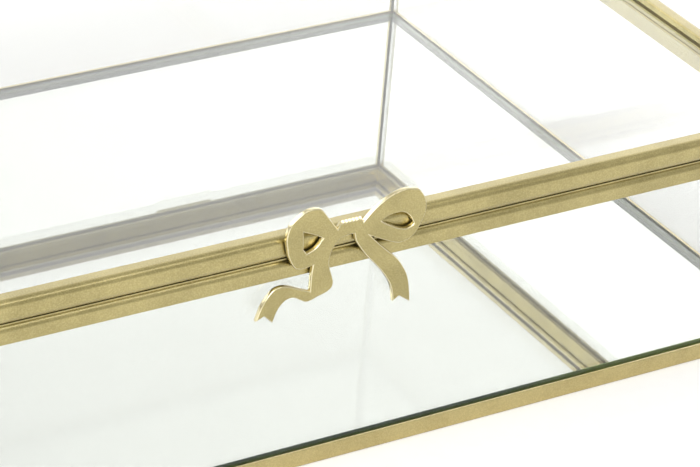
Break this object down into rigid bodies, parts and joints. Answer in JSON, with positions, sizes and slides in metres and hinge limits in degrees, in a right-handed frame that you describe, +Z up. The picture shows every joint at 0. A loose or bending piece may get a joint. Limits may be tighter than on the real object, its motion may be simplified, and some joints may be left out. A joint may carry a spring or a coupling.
{
  "type": "jewelry box",
  "caption": "Shallow glass box with slim rounded metal rails, a mirror base and a hinged glass lid that lifts by a flat ribbon bow pull.",
  "frame": {"origin": "centre of the underside of the closed box, on the surface that it stands on", "axes": "+X right seen from the front, +Y towards the hinges at the rear, +Z up"},
  "size_m": [0.219, 0.1589, 0.0566],
  "materials": {
    "frame_metal": "satin champagne gold plating with a fine grain",
    "bow_metal": "satin champagne gold plating, bright rounded edges",
    "hinge_metal": "satin champagne gold plating",
    "wall_glass": "clear polished",
    "lid_glass": "clear polished",
    "mirror": "silvered behind clear glass, cut green edges",
    "felt": "short felt"
  },
  "bodies": {
    "box": {"bottom_rail_front": "frame_metal", "bottom_rail_right": "frame_metal", "bottom_rail_rear": "frame_metal", "bottom_rail_left": "frame_metal", "rim_rail_front": "frame_metal", "rim_rail_right": "frame_metal", "rim_rail_rear": "frame_metal", "rim_rail_left": "frame_metal", "corner_post_front_left": "frame_metal", "corner_post_front_right": "frame_metal", "corner_post_rear_left": "frame_metal", "corner_post_rear_right": "frame_metal", "glass_front": "wall_glass", "glass_rear": "wall_glass", "glass_left": "wall_glass", "glass_right": "wall_glass", "base_mirror": "mirror", "felt_sheet": "felt", "hinge_body_leaf_left": "hinge_metal", "hinge_pin_left": "hinge_metal", "hinge_body_leaf_right": "hinge_metal", "hinge_pin_right": "hinge_metal"},
    "lid": {"lid_rail_front": "frame_metal", "lid_rail_right": "frame_metal", "lid_rail_rear": "frame_metal", "lid_rail_left": "frame_metal", "lid_glass": "lid_glass", "bow_pull": "bow_metal", "bow_studs": "bow_metal", "hinge_lid_leaf_left": "hinge_metal", "hinge_lid_leaf_right": "hinge_metal"}
  },
  "joints": [
    {"name": "lid_hinge", "type": "hinge", "parent": "box", "child": "lid", "pos_m": [0, 0.07795, 0.04616], "axis": [-1, 0, 0], "range_deg": [0, 100]}
  ]
}
